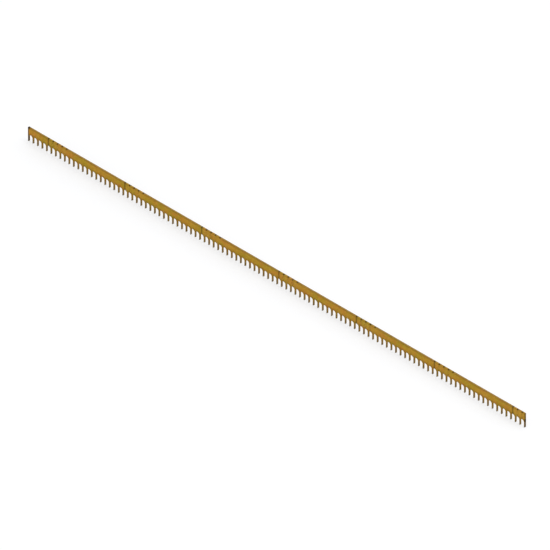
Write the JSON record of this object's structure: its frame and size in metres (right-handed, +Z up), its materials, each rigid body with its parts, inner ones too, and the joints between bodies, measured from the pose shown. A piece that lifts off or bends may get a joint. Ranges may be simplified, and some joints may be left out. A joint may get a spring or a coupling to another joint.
{
  "type": "gear rack",
  "caption": "Straight thin comb-type gear rack with long slender teeth on one edge, built from half-lapped sections held by flush rivets.",
  "frame": {"origin": "on the flat back face, at the middle of the rack's length and halfway up the plain bar above the teeth", "axes": "+X along the rack, +Y out of the flat back face, +Z up from the teeth to the plain top edge; the teeth point to -Z"},
  "size_m": [1.029, 0.003, 0.0246],
  "materials": {
    "section_brass": "milled and brushed, slightly tarnished",
    "rivet_brass": "filed flush"
  },
  "bodies": {
    "root": {"section_1": "section_brass", "section_2": "section_brass", "section_3": "section_brass", "section_4": "section_brass", "section_5": "section_brass", "section_6": "section_brass", "section_7": "section_brass", "section_8": "section_brass", "lap_1_rivet_1": "rivet_brass", "lap_1_rivet_2": "rivet_brass", "lap_1_rivet_3": "rivet_brass", "lap_2_rivet_1": "rivet_brass", "lap_2_rivet_2": "rivet_brass", "lap_2_rivet_3": "rivet_brass", "lap_3_rivet_1": "rivet_brass", "lap_3_rivet_2": "rivet_brass", "lap_3_rivet_3": "rivet_brass", "lap_4_rivet_1": "rivet_brass", "lap_4_rivet_2": "rivet_brass", "lap_4_rivet_3": "rivet_brass", "lap_5_rivet_1": "rivet_brass", "lap_5_rivet_2": "rivet_brass", "lap_5_rivet_3": "rivet_brass", "lap_6_rivet_1": "rivet_brass", "lap_6_rivet_2": "rivet_brass", "lap_6_rivet_3": "rivet_brass", "lap_7_rivet_1": "rivet_brass", "lap_7_rivet_2": "rivet_brass"}
  },
  "joints": []
}
